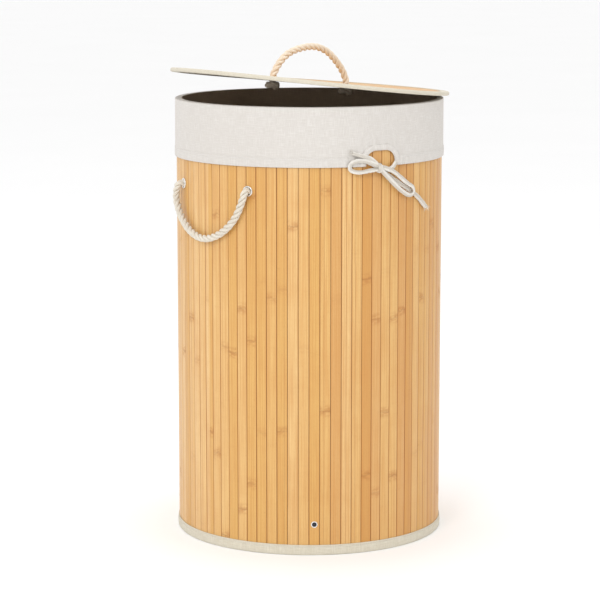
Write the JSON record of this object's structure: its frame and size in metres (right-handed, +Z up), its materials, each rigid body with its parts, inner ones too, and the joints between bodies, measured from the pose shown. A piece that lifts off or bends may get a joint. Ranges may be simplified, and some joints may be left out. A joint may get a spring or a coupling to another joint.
{
  "type": "laundry hamper",
  "caption": "Round laundry hamper of upright bamboo slats with a lift-out cloth liner, folded cuff tied with a bow, rope handles and a loose slatted lid with a rope loop.",
  "frame": {"origin": "centre of the base on the floor, without the tied bow's cord", "axes": "+Z up; the rope handles are at -X and +X and the notch with the bow is near -Y"},
  "size_m": [0.425, 0.4206, 0.7406],
  "materials": {
    "bamboo": "satin lacquered bamboo",
    "backing_cloth": "plain woven backing",
    "liner_cloth": "off-white linen-look weave",
    "binding_tape": "cream cotton tape",
    "fibreboard": "raw board",
    "eyelet_metal": "bright nickel-white",
    "hoop_steel": "drawn wire",
    "rope": "three-strand twisted cotton",
    "drawstring": "soft cotton cord"
  },
  "bodies": {
    "basket": {"wall_slats": "bamboo", "wall_backing": "backing_cloth", "seam_tape": "backing_cloth", "top_hoop": "hoop_steel", "top_binding": "binding_tape", "bottom_binding": "binding_tape", "base_panel": "fibreboard", "base_cover": "backing_cloth", "base_rivets": "eyelet_metal", "left_eyelets": "eyelet_metal", "right_eyelets": "eyelet_metal", "left_rope_ends": "rope", "right_rope_ends": "rope"},
    "liner": {"liner_bag": "liner_cloth", "liner_cuff": "liner_cloth", "cuff_hem": "liner_cloth", "hem_drawstring": "drawstring", "notch_binding": "binding_tape", "bow_knot": "drawstring", "bow_left_loop": "drawstring", "bow_right_loop": "drawstring", "bow_long_tail": "drawstring", "bow_short_tail": "drawstring", "bow_left_lead": "drawstring", "bow_right_lead": "drawstring"},
    "lid": {"lid_slats": "bamboo", "lid_board": "fibreboard", "lid_lining": "liner_cloth", "lid_binding": "binding_tape", "lid_rope_ends": "rope"},
    "lid_handle": {"lid_handle_rope": "rope"},
    "left_handle": {"left_handle_rope": "rope"},
    "right_handle": {"right_handle_rope": "rope"}
  },
  "joints": [
    {"name": "liner_lift", "type": "slide", "parent": "basket", "child": "liner", "axis": [0, 0, 1], "range_m": [0, 0.66]},
    {"name": "lid_tip", "type": "hinge", "parent": "liner", "child": "lid", "pos_m": [0.2031, 0, 0.6565], "axis": [0, 1, 0], "range_deg": [-6.1, 75]},
    {"name": "lid_handle_fold", "type": "hinge", "parent": "lid", "child": "lid_handle", "pos_m": [0.00226, 0, 0.68847], "axis": [0.9943, 0, -0.1063], "range_deg": [-75, 75]},
    {"name": "left_handle_swing", "type": "hinge", "parent": "basket", "child": "left_handle", "pos_m": [-0.19512, 0, 0.534], "axis": [0, 1, 0], "range_deg": [0, 150]},
    {"name": "right_handle_swing", "type": "hinge", "parent": "basket", "child": "right_handle", "pos_m": [0.19512, 0, 0.534], "axis": [0, -1, 0], "range_deg": [0, 150]}
  ]
}
